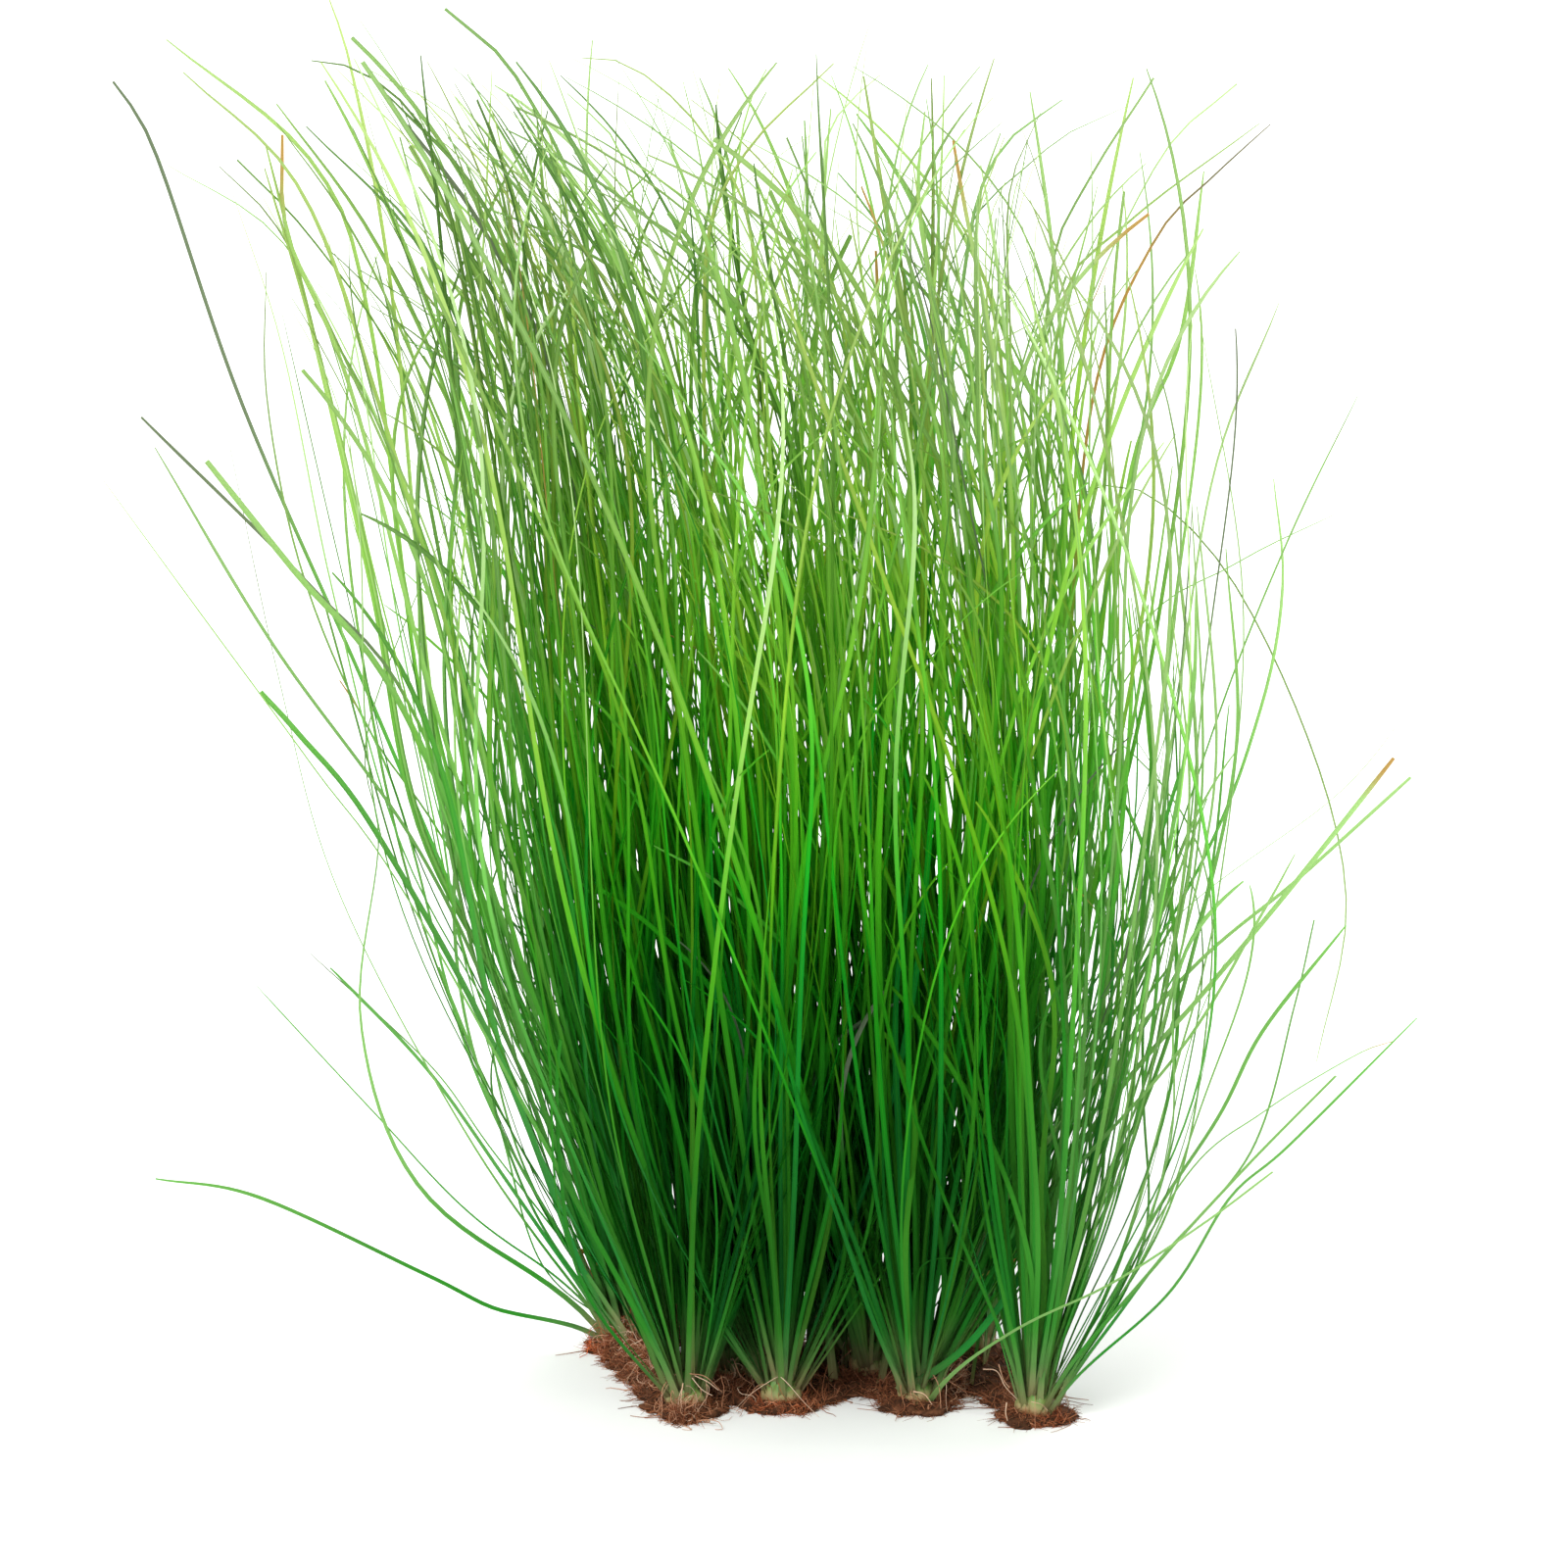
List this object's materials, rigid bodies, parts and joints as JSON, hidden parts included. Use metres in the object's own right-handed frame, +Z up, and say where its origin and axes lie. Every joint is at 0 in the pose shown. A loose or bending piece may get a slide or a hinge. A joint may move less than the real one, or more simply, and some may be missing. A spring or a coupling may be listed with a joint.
{
  "type": "eriocaulon aquarium plant clump",
  "caption": "Clump of long, thin, grass-like aquarium plant leaves that fan up and out from pale crowns on one flat-cut mat of reddish brown roots.",
  "frame": {"origin": "middle of the clump in the flat underside of the root mat, on the surface it stands on", "axes": "+Z up along the leaves, +X from the left to the right of the clump seen from its front, +Y from its front to its back"},
  "size_m": [0.276, 0.1648, 0.3015],
  "materials": {
    "leaf": "satin",
    "crown": "satin",
    "roots": "matte"
  },
  "bodies": {
    "root": {"root_mat": "roots", "crown_1": "crown", "crown_2": "crown", "crown_3": "crown", "crown_4": "crown", "crown_5": "crown", "crown_6": "crown", "crown_7": "crown", "crown_8": "crown", "crown_9": "crown", "crown_10": "crown", "leaf_tuft_1": "leaf", "leaf_tuft_2": "leaf", "leaf_tuft_3": "leaf", "leaf_tuft_4": "leaf", "leaf_tuft_5": "leaf", "leaf_tuft_6": "leaf", "leaf_tuft_7": "leaf", "leaf_tuft_8": "leaf", "leaf_tuft_9": "leaf", "leaf_tuft_10": "leaf", "leaf_01": "leaf", "leaf_02": "leaf", "leaf_03": "leaf", "leaf_04": "leaf", "leaf_05": "leaf", "leaf_06": "leaf", "leaf_07": "leaf", "leaf_08": "leaf", "leaf_09": "leaf", "leaf_10": "leaf", "leaf_11": "leaf", "leaf_12": "leaf", "leaf_13": "leaf", "leaf_14": "leaf", "leaf_15": "leaf", "leaf_16": "leaf", "leaf_17": "leaf", "leaf_18": "leaf", "leaf_19": "leaf", "leaf_20": "leaf", "leaf_21": "leaf", "leaf_22": "leaf", "leaf_23": "leaf", "leaf_24": "leaf", "leaf_25": "leaf", "leaf_26": "leaf", "leaf_27": "leaf", "leaf_28": "leaf", "leaf_29": "leaf", "leaf_30": "leaf", "leaf_31": "leaf", "leaf_32": "leaf", "leaf_33": "leaf", "leaf_34": "leaf", "leaf_35": "leaf", "leaf_36": "leaf"}
  },
  "joints": []
}
